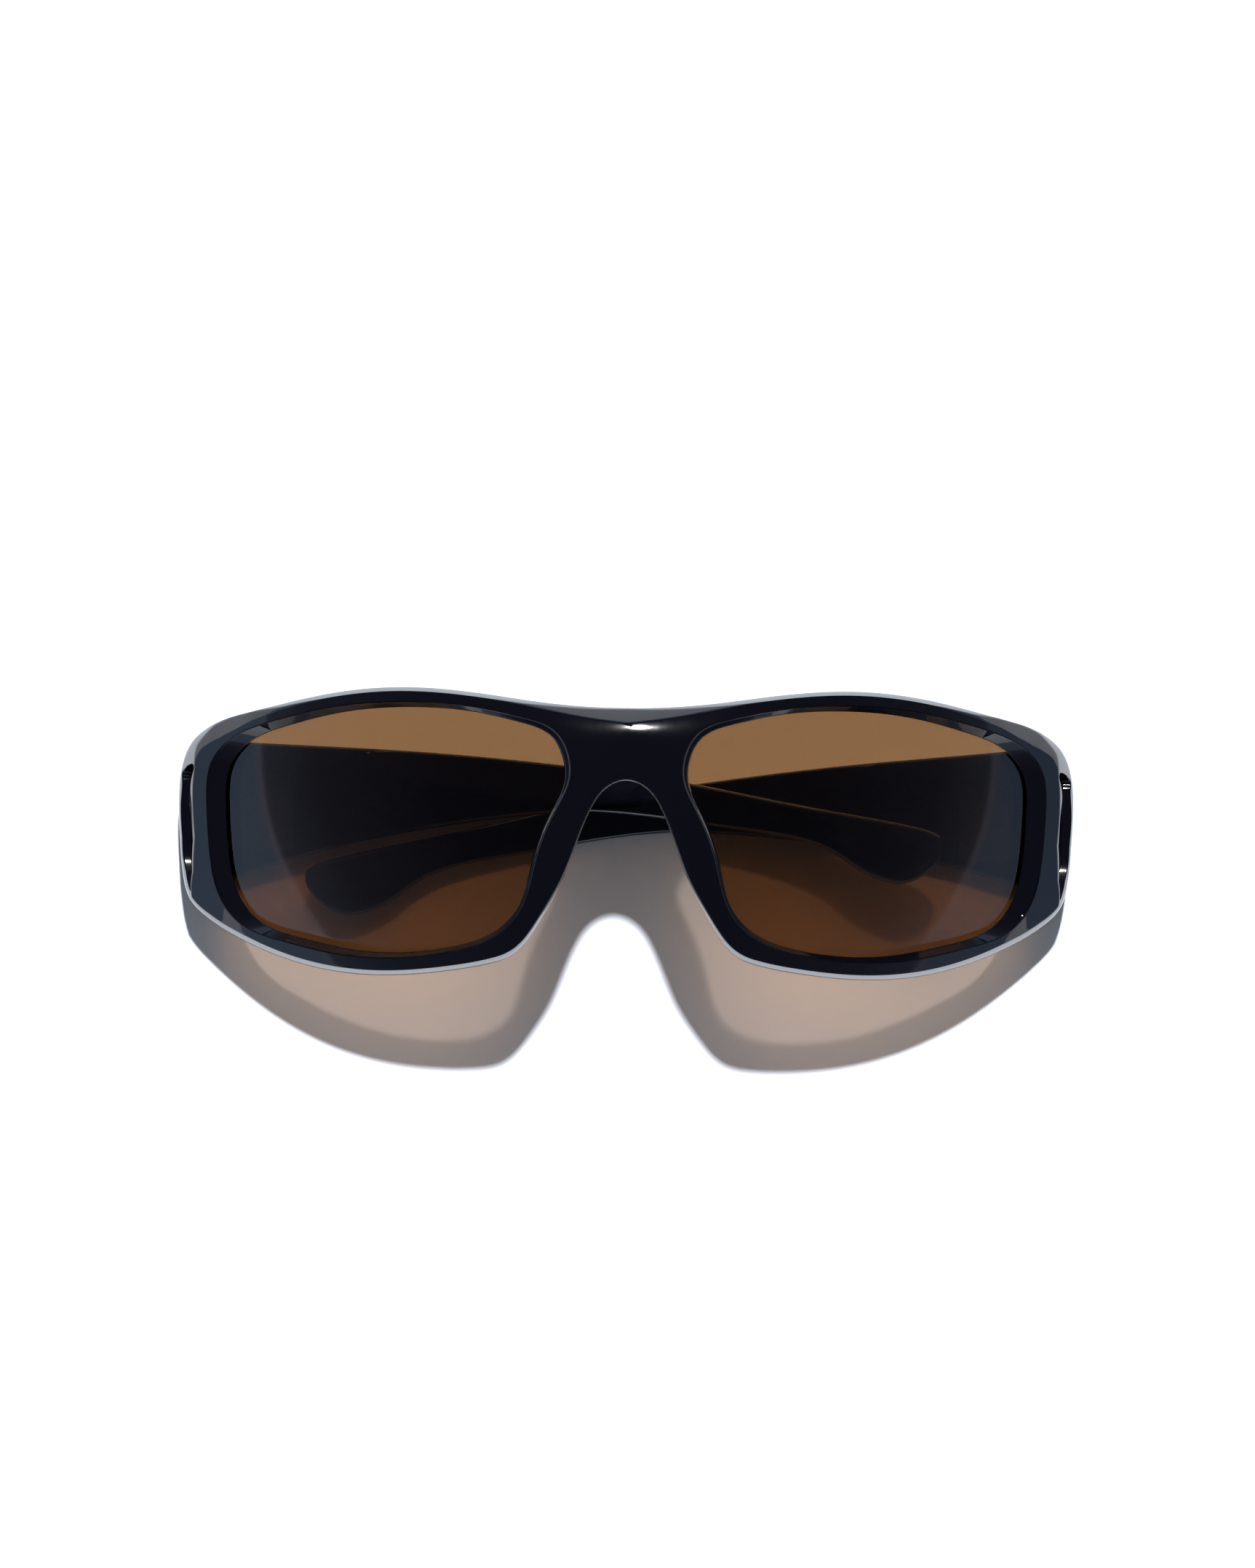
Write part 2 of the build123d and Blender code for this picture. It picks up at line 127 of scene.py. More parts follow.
TEMPLE_FOOT = [(-0.009, -0.500), (0.171, -0.240), (0.275, -0.143), (0.380, -0.074), (0.503, -0.039),
               (0.606, -0.087), (0.713, -0.170), (0.797, -0.243), (0.856, -0.370), (0.893, -0.490),
               (0.937, -0.556), (0.980, -0.470), (1.000, -0.320)]
# Crown of the tip's inner face, and where along the temple it comes in
CROWN = 0.45
CROWN_START = 0.72
CROWN_RUN = 0.12
THIN = 0.08
BUTT_ROUND = 0.5
TEMPLE_EDGE = 1.35
# Where the temple starts to thin out to its tip, over what share, and the thickness left there
TIP_START = 0.93
TIP_RUN = 0.07
TIP_LEFT = 0.35
# Share of the length, bow of the middle line, thickness
TEMPLE_BOW = [(-0.009, -3.25, 5.7), (0.06, -3.20, 5.6), (0.125, -3.15, 5.5), (0.22, -3.10, 4.35),
              (0.36, -3.00, 3.65), (0.56, -2.70, 3.4), (0.72, -1.75, 3.4), (0.85, 0.75, 3.4), (1.02, 6.1, 3.4)]


# ---------------------------------------------------------------- curves and surfaces
def natural_spline(points, where):
    """Smooth curve through points, at the given point numbers (whole or part)."""
    p = np.asarray(points, float)
    n = len(p)
    t = np.concatenate([[0], np.cumsum(np.linalg.norm(np.diff(p, axis=0), axis=1))])
    h = np.diff(t)
    a = np.zeros((n, n))
    b = np.zeros((n, p.shape[1]))
    a[0, 0] = a[-1, -1] = 1
    for i in range(1, n - 1):
        a[i, i - 1 : i + 2] = h[i - 1], 2 * (h[i - 1] + h[i]), h[i]
        b[i] = 6 * ((p[i + 1] - p[i]) / h[i] - (p[i] - p[i - 1]) / h[i - 1])
    m = np.linalg.solve(a, b)
    at = np.interp(where, np.arange(n), t)
    k = np.clip(np.searchsorted(t, at, side="right") - 1, 0, n - 2)
    left = ((t[k + 1] - at) / h[k])[:, None]
    right = 1 - left
    bend = ((left**3 - left) * m[k] + (right**3 - right) * m[k + 1]) * (h[k] ** 2)[:, None] / 6
    return left * p[k] + right * p[k + 1] + bend


def lens_loop(where, nose=0.0, end=0.0, rim=0.0):
    """The lens opening at the given point numbers, stretched past its nose side, end and rims."""
    start = OPENING_EDGE - nose
    width = LENS_WIDTH + nose + end
    height = LENS_HEIGHT + 2 * rim
    run = [(start + x * width, LENS_MIDDLE + y * height) for x, y in LENS_RUN]
    n = len(run)
    wrapped = run[-5:] + run + run[:6]
    return natural_spline(wrapped, np.mod(where, n) + 5)


def front_run(where):
    """The front's outline from the middle of the brow round to the top of the nose arch."""
    run = [(0, BROW * BROW_MIDDLE)] + [(x * HALF_WIDTH, y * (BROW if y > 0 else CHIN)) for x, y in FRONT_RUN]
    run.append((0, NOSE_TOP))
    before = [(-x, y) for x, y in run[3:0:-1]]
    after = [(-x, y) for x, y in run[-2:-5:-1]]
    return natural_spline(before + run + after, np.asarray(where) + 3)


def wrap_profile(x, back, end_back):
    """How far a wrapped surface stands behind the bridge at x: a ball, then a smaller arc at the end."""
    half = WRAP_HALF - end_back
    ball = BALL - back
    turn = pi / 2 - 2 * np.arctan((ball - half) / (BALL - WRAP_DEPTH))
    reach = (BALL - WRAP_DEPTH) / np.cos(turn)
    x = np.minimum(np.abs(x), half)
    middle = np.sqrt(np.maximum(ball**2 - x**2, 0)) - BALL
    end = np.sqrt(np.maximum((ball - reach) ** 2 - (x - reach * np.sin(turn)) ** 2, 0)) - WRAP_DEPTH
    return np.where(x < ball * np.sin(turn), middle, end)


def swept_z(profile, y):
    """Height over a point at y, for a profile swept round the front's cross axis."""
    across = y - BALL * sin(TILT)
    return BRIDGE_Z - BALL * cos(TILT) + np.sqrt(np.maximum((BALL + profile) ** 2 - across**2, 0))


def wrap_z(x, y, back=0.0, end_back=0.0):
    """Height of a wrapped surface over the point (x, y)."""
    return swept_z(wrap_profile(x, back, end_back), y)


def face_z(x, y):
    """Height of the front's face: the wrapped surface, with a flat facet at each end."""
    x = np.abs(x)
    facet = wrap_profile(FACET_START, 0, 0) - FACET_SLOPE * (x - FACET_START)
    near = np.clip((ROLL_END - x) / ROLL_FADE, 0, 1)
    roll = ROLL * near**2 * (3 - 2 * near) * np.maximum(y - ROLL_START, 0) ** 2
    return swept_z(np.where(x < FACET_START, wrap_profile(x, 0, 0), facet), y) - roll


def lens_z(x, y, back=0.0):
    """Height of the lens's front, or of a surface the given depth behind it."""
    return swept_z(np.sqrt((LENS_RADIUS - back) ** 2 - (np.abs(x) + LENS_OFFSET) ** 2) - LENS_RADIUS, y)


def rear_depth(x):
    """Depth of the rim, which grows towards the nose saddle."""
    near_nose = np.clip((NOSE_REACH - np.abs(x)) / NOSE_BLEND, 0, 1)
    return RIM_DEPTH + NOSE_DEPTH * near_nose**2 * (3 - 2 * near_nose)


def rear_z(x, y):
    """Height of the front's back, and of the flat rear face of its ends."""
    wrapped = wrap_z(x, y, rear_depth(x), END_DEPTH)
    return np.where(np.abs(x) < WRAP_HALF - END_DEPTH, np.maximum(wrapped, REAR_Z), REAR_Z)


WRAP_X = np.concatenate([np.linspace(0, 66, 400), np.linspace(66.02, WRAP_HALF - 0.05, 400)])
WRAP_ARC = np.concatenate([[0], np.cumsum(np.hypot(np.diff(WRAP_X), np.diff(wrap_profile(WRAP_X, 0, 0))))])


def between(near, far, share):
    """Points part of the way from one run to another, spaced evenly over the wrapped surface."""
    arc = (1 - share) * np.interp(near[:, 0], WRAP_X, WRAP_ARC) + share * np.interp(far[:, 0], WRAP_X, WRAP_ARC)
    y = (1 - share) * near[:, 1] + share * far[:, 1]
    return np.column_stack([np.interp(arc, WRAP_ARC, WRAP_X), y])


def raised(points, z):
    """Points in plan with their heights added."""
    return np.column_stack([points, z])


def rounded(corner, before, after, radius, steps):
    """Rows that round off the corner between its two neighbouring rows."""
    back = before - corner
    ahead = after - corner
    back_length = np.linalg.norm(back, axis=1, keepdims=True) + 1e-9
    ahead_length = np.linalg.norm(ahead, axis=1, keepdims=True) + 1e-9
    first = corner + back / back_length * np.minimum(radius, back_length * 0.45)
    last = corner + ahead / ahead_length * np.minimum(radius, ahead_length * 0.45)
    rows = []
    for s in np.linspace(0, 1, steps + 1):
        rows.append(first * (1 - s) ** 2 + corner * 2 * s * (1 - s) + last * s**2)
    return rows


def new_mesh(name, verts, faces, side=RIGHT):
    """A smooth-shaded mesh object from points in millimetres; the left side is the right one mirrored."""
    points = np.asarray(verts, float) * MM
    if side == LEFT:
        points = points * np.array([-1, 1, 1])
        faces = [tuple(reversed(f)) for f in faces]
    mesh = bpy.data.meshes.new(name)
    mesh.from_pydata(points.tolist(), [], [tuple(int(i) for i in f) for f in faces])
    mesh.validate()
    mesh.update()
    mesh.shade_smooth()
    piece = bpy.data.objects.new(name, mesh)
    bpy.context.scene.collection.objects.link(piece)
    return piece


def grid_faces(rows, columns, start=0, closed=True):
    """Quads over a grid of points, closed round its columns or not."""
    faces = []
    for r in range(rows - 1):
        for c in range(columns if closed else columns - 1):
            d = (c + 1) % columns
            a = start + r * columns
            faces.append((a + c, a + d, a + columns + d, a + columns + c))
    return faces


# ---------------------------------------------------------------- front frame
# Matching points: number on the front's outline, number on the lens opening
KEYS = [(0, 1.6), (3, 5), (5.3, 8), (7.3, 9.1), (9, 10), (11, 11.4), (12.3, 12.3), (13.3, 13), (16, 16),
        (18.6, 18.2), (21, 19.6), (24, 21.2), (26, 22)]
# Width of the sloping side wall seen from in front, by point number on the outline
BAND = [(0, 2.4), (0.5, 1.9), (1, 1.4), (1.5, 1.05), (2, 0.9), (4, 0.8), (4.6, 0.95), (5, 1.4), (5.5, 2.1),
        (6, 2.4), (6.6, 2.2), (7, 1.9), (7.5, 1.9), (8, 2.3), (9, 2.45), (10, 2.6), (11, 1.9), (12, 0.5),
        (13, 0.8), (14, 0.9), (18, 0.9), (20, 0.9), (22, 1.2), (24, 1.35), (26, 1.3)]
# Width of the steep wall alone, outside the sloping facet
STRIP = [(0, 0.3), (1, 0.6), (1.5, 0.8), (2, 0.85), (4, 0.75), (4.6, 0.5), (4.9, 0.15), (5.5, 0.12), (6, 0.3),
         (6.5, 0.8), (7, 1.1), (7.5, 1.7), (8, 2.2), (9, 2.35), (10, 2.5), (11, 1.8), (12, 0.45), (13, 0.75),
         (14, 0.85), (18, 0.85), (19, 0.8), (20, 0.5), (21, 0.35), (22, 0.22), (23, 0.15), (26, 0.14)]
# Fall of the facet for each millimetre of its width
FALL = [(0, 0.9), (1.5, 0.7), (2, 0.4), (4.6, 0.4), (5.2, 0.6), (7, 0.6), (8, 0.4), (20, 0.2), (26, 0.22)]
# Radius of the front's outer edge, by point number on the outline
EDGE = [(0, 1.6), (1.5, 0.7), (2.5, 0.35), (5, 0.35), (7, 0.4), (9, 0.3), (20, 0.5), (23, 0.8), (26, 0.9)]
# How far the wall leans in towards its rear edge
TAPER = [(0, 2.2), (1, 2.0), (2, 1.4), (3.5, 0.6), (5, 0.1), (20, 0.1), (22, 0.0), (26, 0.0)]
# Steepness of the wall under the facet
WALL_SLOPE = [(0, 3.6), (6, 3.4), (7.5, 2.9), (10.5, 2.9), (12, 3.4), (26, 3.6)]
SPOKES = 30
CENTRE_SPOKES = 14
FACE_ROWS = 12
# Radii of the lip and step round a lens, of the wall and of the back
LIP_ROUND = 0.2
STEP_ROUND = 0.25
MOUTH_ROUND = 0.3
WALL_ROUND = 0.3
FOOT_ROUND = 0.9
REAR_ROUND = 0.8
BACK_ROUND = 0.4
# How far the step stands past the lens opening, at its nose side, end and rims
MOUTH = (0.7, 3.0, 0.9)
REAR_EDGE = 0.7


def spokes():
    """Matching point numbers of the front's spokes: on the outline, and on the lens opening."""
    outer_at, inner_at = [], []
    for (a, b), (c, d) in zip(KEYS, KEYS[1:]):
        outer_at += list(np.linspace(a, c, SPOKES, endpoint=False))
        inner_at += list(np.linspace(b, d, SPOKES, endpoint=False))
    outer_at.append(KEYS[-1][0])
    inner_at.append(KEYS[-1][1])
    along_middle = np.linspace(KEYS[-1][1], KEYS[0][1] + len(LENS_RUN), CENTRE_SPOKES + 2)[1:-1]
    return np.array(outer_at), np.concatenate([inner_at, along_middle])


def on_middle(run):
    """A run of points whose two ends are moved onto the middle of the front."""
    run[0, 0] = run[-1, 0] = 0
    return run


def middle_points(run):
    """Points along the middle of the front, from the end of a run back to its start."""
    y = np.linspace(run[-1, 1], run[0, 1], CENTRE_SPOKES + 2)[1:-1]
    return np.column_stack([np.zeros(CENTRE_SPOKES), y])


def front_half():
    """Points and faces of one half of the front, all in rings round its lens opening."""
    outer_at, inner_at = spokes()
    walls = len(outer_at)
    outline = front_run(outer_at)
    along = np.gradient(outline, axis=0)
    along /= np.linalg.norm(along, axis=1, keepdims=True)
    inward = np.column_stack([along[:, 1], -along[:, 0]])
    inward[0] = (0, -1)
    inward[-1] = (0, 1)
    band = np.interp(outer_at, *zip(*BAND))[:, None]
    edge = outline + inward * band
    edge[:, 0] = np.maximum(edge[:, 0], 0)
    face_edge = np.vstack([on_middle(edge), middle_points(edge)])
    radius = np.interp(outer_at, *zip(*EDGE))[:, None]
    total = walls + CENTRE_SPOKES

    opening = lens_loop(inner_at)
    mouth = lens_loop(inner_at, *MOUTH)
    lens_front = raised(opening, lens_z(*opening.T))
    lip_top = raised(opening, lens_z(*opening.T, -LIP))
    step_foot = raised(mouth, face_z(*mouth.T) - STEP)
    step_top = raised(mouth, face_z(*mouth.T))
    shares = np.linspace(0, 1, FACE_ROWS)
    plans = [between(mouth, face_edge, s) for s in shares]
    face = [raised(p, face_z(*p.T)) for p in plans]

    rows = [lens_front]
    rows += rounded(lip_top, lens_front, step_foot, LIP_ROUND, 3)
    rows += rounded(step_foot, lip_top, step_top, STEP_ROUND, 3)
    rows += rounded(step_top, step_foot, face[1], MOUTH_ROUND, 4)
    rows += face[1:-1]
    face_end = face[-1]
    strip = np.minimum(np.interp(outer_at, *zip(*STRIP)), band[:, 0] - 0.05)
    facet = on_middle(outline + inward * strip[:, None])
    facet_z = face_z(*facet.T) - np.interp(outer_at, *zip(*FALL)) * (band[:, 0] - strip)
    wall_z = np.maximum(facet_z - strip * np.interp(outer_at, *zip(*WALL_SLOPE)), rear_z(*outline.T) + 0.8)
    wall_top = raised(outline, wall_z)
    taper = np.interp(outer_at, *zip(*TAPER))[:, None]
    foot_plan = on_middle(outline + inward * taper)
    wall_foot = raised(foot_plan, rear_z(*foot_plan.T))
    facet_edge = raised(facet, facet_z)
    turned = [on_middle(row) for row in rounded(face_end[:walls], face[-2][:walls], facet_edge, radius, 6)]
    rows.append(np.vstack([turned[0], face_end[walls:]]))
    head = np.vstack(rows)
    faces = grid_faces(len(rows), total)
    last_row = (len(rows) - 1) * total
    wall_rows = turned[1:]
    wall_rows += rounded(facet_edge, wall_rows[-1], wall_top, np.minimum(radius, WALL_ROUND), 3)

    # side wall, only where the outline is, not along the middle of the bridge
    rear_edge_plan = on_middle(foot_plan + inward * REAR_EDGE)
    rear_edge = raised(rear_edge_plan, rear_z(*rear_edge_plan.T))
    wall_rows += rounded(wall_top, wall_rows[-1], wall_foot, FOOT_ROUND, 5)
    wall_rows += rounded(wall_foot, wall_top, rear_edge, REAR_ROUND, 4)
    start = len(head)
    walls_block = np.vstack(wall_rows)
    for c in range(walls - 1):
        faces.append((last_row + c, last_row + c + 1, start + c + 1, start + c))
    faces += grid_faces(len(wall_rows), walls, start, closed=False)

    # back of the front, again in closed rings
    back_edge = np.vstack([rear_edge_plan, middle_points(rear_edge_plan)])
    back_rows = []
    for s in np.linspace(0, 1, FACE_ROWS):
        plan = between(back_edge, opening, s)
        back_rows.append(raised(plan, rear_z(*plan.T)))
    lens_rear = raised(opening, lens_z(*opening.T, LENS_THICK))
    tail_rows = back_rows[:-1] + rounded(back_rows[-1], back_rows[-2], lens_rear, BACK_ROUND, 4) + [lens_rear]
    tail_start = start + len(walls_block)
    wall_last = start + (len(wall_rows) - 1) * walls
    for c in range(walls - 1):
        faces.append((wall_last + c, wall_last + c + 1, tail_start + c + 1, tail_start + c))
    faces += grid_faces(len(tail_rows), total, tail_start)
    tail = np.vstack(tail_rows)
    tail_last = tail_start + (len(tail_rows) - 1) * total
    for c in range(total):
        d = (c + 1) % total
        faces.append((tail_last + c, tail_last + d, d, c))
    return np.vstack([head, walls_block, tail]), faces


def clean(piece, distance=0.00002):
    """Joins points that lie together, turns the faces outwards and shades all but the real edges smooth."""
    work = bmesh.new()
    work.from_mesh(piece.data)
    bmesh.ops.remove_doubles(work, verts=work.verts, dist=distance)
    bmesh.ops.dissolve_degenerate(work, edges=work.edges, dist=distance / 4)
    bmesh.ops.recalc_face_normals(work, faces=work.faces)
    for f in work.faces:
        f.smooth = True
    work.to_mesh(piece.data)
    work.free()
    piece.data.set_sharp_from_angle(angle=SHARP)


def solid(loops):
    """A closed cutter through loops of points, one loop after another."""
    count = len(loops[0])
    verts = np.vstack(loops)
    faces = grid_faces(len(loops), count)
    faces.append(tuple(reversed(range(count))))
    faces.append(tuple((len(loops) - 1) * count + i for i in range(count)))
    piece = new_mesh("cutter", verts, faces)
    clean(piece, 0.000001)
    return piece


def box_loops(origin, x_dir, y_dir, z_dir, near, far, half, low, high):
    """The two end loops of a box set by a plane's own axes."""
    corners = [(near, -half), (far, -half), (far, half), (near, half)]
    return [np.array([origin + x_dir * x + y_dir * y + z_dir * z for x, y in corners]) for z in (low, high)]


def cut(piece, cutters):
    """Cuts pockets out of a piece."""
    for cutter in cutters:
        knife = piece.modifiers.new("pocket", "BOOLEAN")
        knife.operation = "DIFFERENCE"
        knife.solver = "EXACT"
        knife.object = cutter
    made = bpy.data.meshes.new_from_object(piece.evaluated_get(bpy.context.evaluated_depsgraph_get()))
    made.name = piece.name
    piece.modifiers.clear()
    piece.data = made
    for cutter in cutters:
        bpy.data.objects.remove(cutter)
    for face in made.polygons:
        face.use_smooth = True
    made.set_sharp_from_angle(angle=SHARP)


# The slot in each end: height along Y and share of the end wall's width from its crease
SLOT_RUN = [(10.0, 0.24), (8.6, 0.11), (4.0, 0.10), (-1.0, 0.11), (-5.5, 0.12), (-8.6, 0.13), (-9.7, 0.22),
            (-9.0, 0.42), (-7.2, 0.64), (-5.0, 0.76), (-1.0, 0.80), (4.0, 0.80), (8.0, 0.80), (9.5, 0.64)]
SLOT_DEPTH = 1.3
# Depth along the wall's normal and growth of the outline, from the slot's floor to clear of the wall
SLOT_LEVELS = ((-SLOT_DEPTH, -0.15), (-SLOT_DEPTH + 0.2, 0.0), (-0.2, 0.0), (0.05, 0.18), (1.5, 0.3))
END_WALL_SLOPE = 2.9


def slot_cutter(side):
    """Cutter for the slot in one end, with a small chamfer at its rim."""
    wrapped = SLOT_RUN[-4:] + SLOT_RUN + SLOT_RUN[:5]
    loop = natural_spline(wrapped, np.linspace(4, 4 + len(SLOT_RUN), 97)[:-1])
    edge_at = np.linspace(7, 12, 120)
    edge = front_run(edge_at)
    order = np.argsort(edge[:, 1])
    width = np.interp(edge_at, *zip(*BAND))
    y = loop[:, 0]
    wall_width = np.interp(y, edge[order, 1], width[order])
    crease_x = np.interp(y, edge[order, 1], (edge[:, 0] - width)[order])
    down = sqrt(END_WALL_SLOPE**2 + 1)
    flat = np.column_stack([y, loop[:, 1] * wall_width * down])
    along = np.roll(flat, -1, axis=0) - np.roll(flat, 1, axis=0)
    along /= np.linalg.norm(along, axis=1, keepdims=True)
    out = np.column_stack([along[:, 1], -along[:, 0]])
    out *= np.sign(((flat - flat.mean(axis=0)) * out).sum())
    normal = np.array([END_WALL_SLOPE, 0.0, 1.0]) / down
    loops = []
    for depth, growth in SLOT_LEVELS:
        spot = flat + out * growth
        shift = spot - flat
        x = crease_x + spot[:, 1] / down
        z = face_z(crease_x, y) - spot[:, 1] / down * END_WALL_SLOPE
        surface = np.column_stack([x, y + shift[:, 0], z])
        loops.append((surface + normal * depth) * np.array([side, 1, 1]))
    return solid(loops)


def hinge_round(side, radius, half):
    """Round bar along a hinge's axis."""
    origin, x_dir, y_dir, z_dir = temple_frame(side)
    loops = []
    for y in (-half, half):
        turn = np.linspace(0, 2 * pi, 33)[:-1]
        loops.append(np.array([origin + y_dir * y + radius * (x_dir * cos(a) + z_dir * sin(a)) for a in turn]))
    return solid(loops)


def front_pocket(side):
    """Pocket for the front's hinge leaf."""
    origin, _, y_dir, _ = temple_frame(side)
    up = np.array([0.0, 0.0, 1.0])
    across = np.cross(y_dir, up) * side
    return solid(box_loops(origin, across, y_dir, up, LEAF_NEAR - LEAF_ROOM, LEAF_FAR + LEAF_ROOM,
                           BARREL_STACK / 2 + LEAF_ROOM, -0.1, FRONT_LEAF + LEAF_ROOM))


def temple_pocket(side):
    """Pocket for the temple's hinge leaf."""
    origin, x_dir, y_dir, z_dir = temple_frame(side)
    return solid(box_loops(origin, x_dir, y_dir, z_dir, 0, TEMPLE_LEAF + LEAF_ROOM,
                           BARREL_STACK / 2 + LEAF_ROOM, -LEAF_FAR - LEAF_ROOM, 1.0))


def make_front():
    """Both halves of the front as one closed mesh."""
    points, faces = front_half()
    mirrored = points * np.array([-1, 1, 1])
    count = len(points)
    verts = np.vstack([points, mirrored])
    all_faces = list(faces) + [tuple(count + i for i in reversed(f)) for f in faces]
    piece = new_mesh("front_shell", verts, all_faces)
    clean(piece)
    cutters = []
    for side, _ in SIDES:
        cutters += [slot_cutter(side), hinge_round(side, BARREL_ROOM, POCKET_HALF), front_pocket(side)]
    cut(piece, cutters)
    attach(piece, "front")
    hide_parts("front_frame")
    return piece


# ---------------------------------------------------------------- lenses
def make_lens(side, name):
    """One lens: a thin wrapped plate."""
    where = np.linspace(0, len(LENS_RUN), 241)[:-1]
    loop = lens_loop(where, LENS_BITE, LENS_BITE, LENS_BITE)
    centre = np.array([[OPENING_EDGE + LENS_WIDTH * 0.5, LENS_MIDDLE]])
    rings = 30
    front, rear = [], []
    for k in range(1, rings + 1):
        plan = centre + (loop - centre) * (k / rings)
        front.append(raised(plan, lens_z(*plan.T)))
        rear.append(raised(plan, lens_z(*plan.T, LENS_THICK)))
    columns = len(where)
    tops = raised(centre, lens_z(*centre.T))
    feet = raised(centre, lens_z(*centre.T, LENS_THICK))
    rows = front + list(reversed(rear))
    verts = np.vstack(rows + [tops, feet])
    faces = grid_faces(len(rows), columns)
    top, foot = len(verts) - 2, len(verts) - 1
    last = (len(rows) - 1) * columns
    for c in range(columns):
        d = (c + 1) % columns
        faces.append((top, d, c))
        faces.append((foot, last + c, last + d))
    piece = new_mesh(f"lens_{name}_glass", verts, faces, side)
    clean(piece)
    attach(piece, "front")
    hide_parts(f"lens_{name}")
    return piece


# ---------------------------------------------------------------- temples
def temple_frame(side):
    """Origin and axes of a folded temple: towards its tip, along its hinge, and towards the lenses."""
    turn = side * FOLD[side]
    x_dir = np.array([cos(LEAN) * cos(turn), sin(LEAN) * cos(turn), -sin(turn)])
    y_dir = np.array([-sin(LEAN), cos(LEAN), 0])
    z_dir = np.cross(x_dir, y_dir)
    origin = np.array(HINGE["left_temple" if side == LEFT else "right_temple"])
    return origin, -side * x_dir, y_dir, z_dir


def make_temple(side, name):
    """One temple: a bowed bar with rounded edges and a dropped paddle tip."""
    butt = np.linspace(0, 0.006, 7)
    tip = 0.9 + 0.1 * np.sin(np.linspace(0, pi / 2, 41))[1:]
    share = np.concatenate([butt, np.linspace(0.0075, 0.9, 120), tip])
    top = natural_spline(TEMPLE_TOP, share * (len(TEMPLE_TOP) - 1))
    foot = natural_spline(TEMPLE_FOOT, share * (len(TEMPLE_FOOT) - 1))
    scale = np.array([TEMPLE_LENGTH, TEMPLE_HEIGHT])
    top, foot = top * scale, foot * scale
    bow = natural_spline(TEMPLE_BOW, np.interp(np.linspace(-0.009, 1.02, 300), [b[0] for b in TEMPLE_BOW],
                                               np.arange(len(TEMPLE_BOW))))
    origin, x_dir, y_dir, z_dir = temple_frame(side)
    rows = []
    sections = len(share)
    for i in range(sections):
        span = foot[i] - top[i]
        height = max(np.linalg.norm(span), THIN)
        down = span / height if height > THIN else np.array([0.0, -1.0])
        from_end = min(top[i][0] - top[0][0], BUTT_ROUND)
        inset = BUTT_ROUND - sqrt(BUTT_ROUND**2 - (BUTT_ROUND - from_end) ** 2)
        height -= 2 * inset
        past = max(0.0, share[i] - TIP_START) / TIP_RUN
        to_end = sqrt(max(0.0, 1 - past**2))
        edge = min(TEMPLE_EDGE, height * 0.45) + 1e-3
        ring = []
        for sign, corner in ((1, 0), (1, 1), (-1, 1), (-1, 0)):
            for a in np.linspace(0, pi / 2, 7):
                if (sign, corner) == (1, 0):
                    across, lift = edge - edge * cos(a), sin(a)
                elif (sign, corner) == (1, 1):
                    across, lift = height - edge + edge * sin(a), cos(a)
                elif (sign, corner) == (-1, 1):
                    across, lift = height - edge + edge * cos(a), -sin(a)
                else:
                    across, lift = edge - edge * sin(a), -cos(a)
                ring.append((across, lift, edge))
            if (sign, corner) in ((1, 0), (-1, 1)):
                for s in (0.15, 0.3, 0.5, 0.7, 0.85):
                    s = s if sign == 1 else 1 - s
                    ring.append((edge + (height - 2 * edge) * s, sign, edge))
        row = []
        for across, lift, r in ring:
            p = top[i] + down * (across + inset)
            s = p[0] / TEMPLE_LENGTH
            middle = np.interp(s, bow[:, 0], bow[:, 1])
            half = np.interp(s, bow[:, 0], bow[:, 2]) / 2 * (TIP_LEFT + (1 - TIP_LEFT) * to_end) - inset
            flat = np.sign(lift) * (half - min(r, half) * (1 - abs(lift)))
            if lift > 0:
                inner = min(max((across - r) / max(height - 2 * r, 1e-6), 0), 1)
                come_in = min(max((share[i] - CROWN_START) / CROWN_RUN, 0), 1)
                flat += CROWN * come_in * (4 * inner * (1 - inner) - 1) * to_end
            row.append(origin + x_dir * p[0] + y_dir * p[1] + z_dir * (middle + flat))
        rows.append(row)
    columns = len(rows[0])
    verts = np.array(rows).reshape(-1, 3)
    faces = grid_faces(sections, columns)
    faces.append(tuple(range(columns)))
    faces.append(tuple((sections - 1) * columns + i for i in reversed(range(columns))))
    piece = new_mesh(f"temple_{name}_arm", verts, faces)
    clean(piece, 0.0000001)
    cut(piece, [hinge_round(side, BARREL_ROOM, POCKET_HALF), temple_pocket(side)])
    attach(piece, f"{name}_temple")
    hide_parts(f"temple_{name}")
    return piece


# ---------------------------------------------------------------- materials
def material(name):
    """A new node material, its node tree and its Principled node."""
    made = bpy.data.materials.new(name)
    made.use_nodes = True
    tree = made.node_tree
    return made, tree, tree.nodes["Principled BSDF"]


def noise(tree, scale, detail=3.0):
    """A noise texture over the object's own coordinates."""
    place = tree.nodes.new("ShaderNodeTexCoord")
    texture = tree.nodes.new("ShaderNodeTexNoise")
    texture.inputs["Scale"].default_value = scale
    texture.inputs["Detail"].default_value = detail
    tree.links.new(place.outputs["Object"], texture.inputs["Vector"])
    return texture


def ramp(tree, source, low, high, low_value, high_value):
    """Maps a texture's value to a range."""
    node = tree.nodes.new("ShaderNodeMapRange")
    node.inputs["From Min"].default_value = low
    node.inputs["From Max"].default_value = high
    node.inputs["To Min"].default_value = low_value
    node.inputs["To Max"].default_value = high_value
    tree.links.new(source, node.inputs["Value"])
    return node.outputs["Result"]


